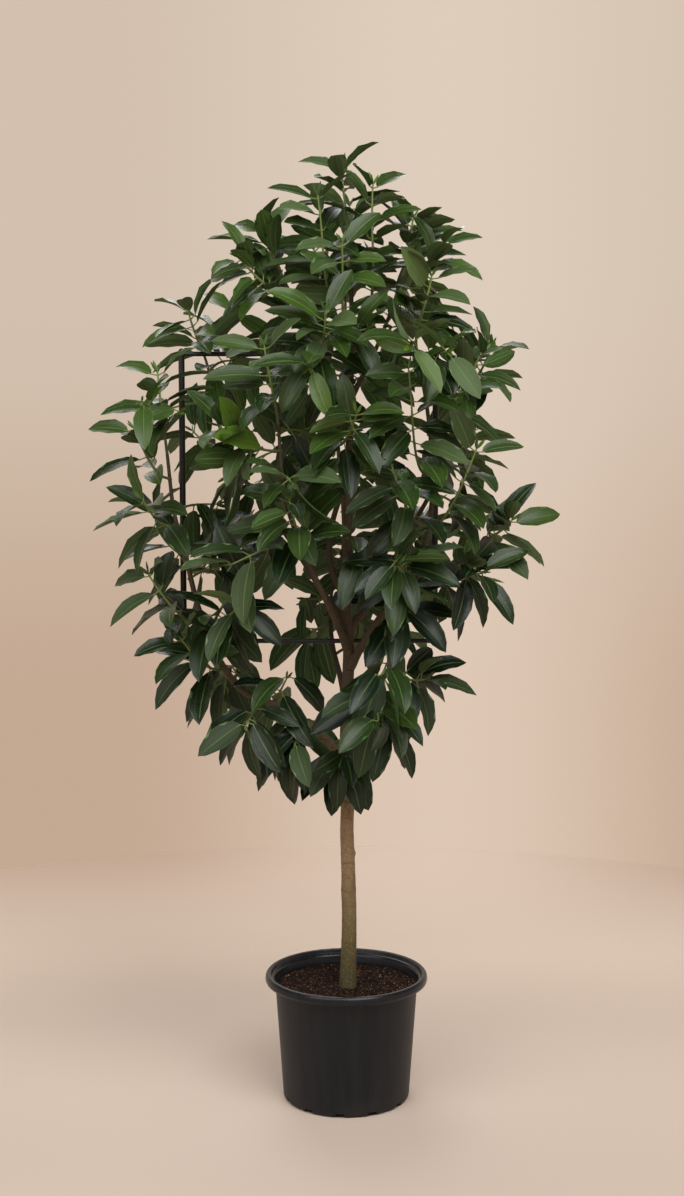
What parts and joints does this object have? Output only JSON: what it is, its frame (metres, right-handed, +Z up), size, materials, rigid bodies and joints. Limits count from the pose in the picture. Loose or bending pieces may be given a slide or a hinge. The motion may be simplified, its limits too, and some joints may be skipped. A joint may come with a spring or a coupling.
{
  "type": "potted cinnamon tree",
  "caption": "Young cinnamon tree with a straight bare trunk and a dense leafy crown, tied to a black rod frame and growing in a tapered black nursery pot.",
  "frame": {"origin": "middle of the pot's flat underside, where it stands on the floor", "axes": "+Z up along the trunk, +X to the right and -Y to the front, as the picture is taken; the rod frame lies in the XZ plane behind the trunk"},
  "size_m": [0.8426, 0.5817, 1.7307],
  "materials": {
    "pot_plastic": "satin",
    "potting_mix": "matte",
    "bark": "matte",
    "rod_coating": "satin",
    "tie_band": "matte",
    "leaf": "satin"
  },
  "bodies": {
    "root": {"pot": "pot_plastic", "potting_mix": "potting_mix", "rail_bottom": "rod_coating", "rail_top": "rod_coating", "shoot_01_trunk": "leaf", "shoot_02_trunk": "leaf", "shoot_03_trunk": "leaf", "shoot_04_trunk": "leaf", "shoot_05_trunk": "leaf", "shoot_06_top_left": "leaf", "shoot_07_top_left": "leaf", "shoot_08_top_left": "leaf", "shoot_09_top_right": "leaf", "shoot_10_top_right": "leaf", "shoot_11_top_right": "leaf", "shoot_12_right_front": "leaf", "shoot_13_right_front": "leaf", "shoot_14_right_front": "leaf", "shoot_15_right_front": "leaf", "shoot_16_right_front": "leaf", "shoot_17_right_front": "leaf", "shoot_18_far_right": "leaf", "shoot_19_far_right": "leaf", "shoot_20_far_right": "leaf", "shoot_21_right_back": "leaf", "shoot_22_right_back": "leaf", "shoot_23_right_back": "leaf", "shoot_24_low_right": "leaf", "shoot_25_low_right": "leaf", "shoot_26_low_right": "leaf", "shoot_27_low_left": "leaf", "shoot_28_low_left": "leaf", "shoot_29_low_left": "leaf", "shoot_30_low_left": "leaf", "shoot_31_low_left": "leaf", "shoot_32_low_left": "leaf", "shoot_33_low_left": "leaf", "shoot_34_low_left": "leaf", "shoot_35_low_left": "leaf", "shoot_36_low_left": "leaf", "shoot_37_low_left": "leaf", "shoot_38_low_left": "leaf", "shoot_39_left_front": "leaf", "shoot_40_left_front": "leaf", "shoot_41_left_front": "leaf", "shoot_42_centre_front": "leaf", "shoot_43_centre_front": "leaf", "shoot_44_left_back": "leaf", "shoot_45_left_back": "leaf", "shoot_46_left_back": "leaf", "shoot_47_back": "leaf", "shoot_48_back": "leaf", "shoot_49_back": "leaf", "shoot_50_low_back": "leaf", "tie_lower": "tie_band", "tie_upper": "tie_band", "trunk_and_limbs": "bark", "upright_centre": "rod_coating", "upright_left": "rod_coating", "upright_right": "rod_coating"}
  },
  "joints": []
}
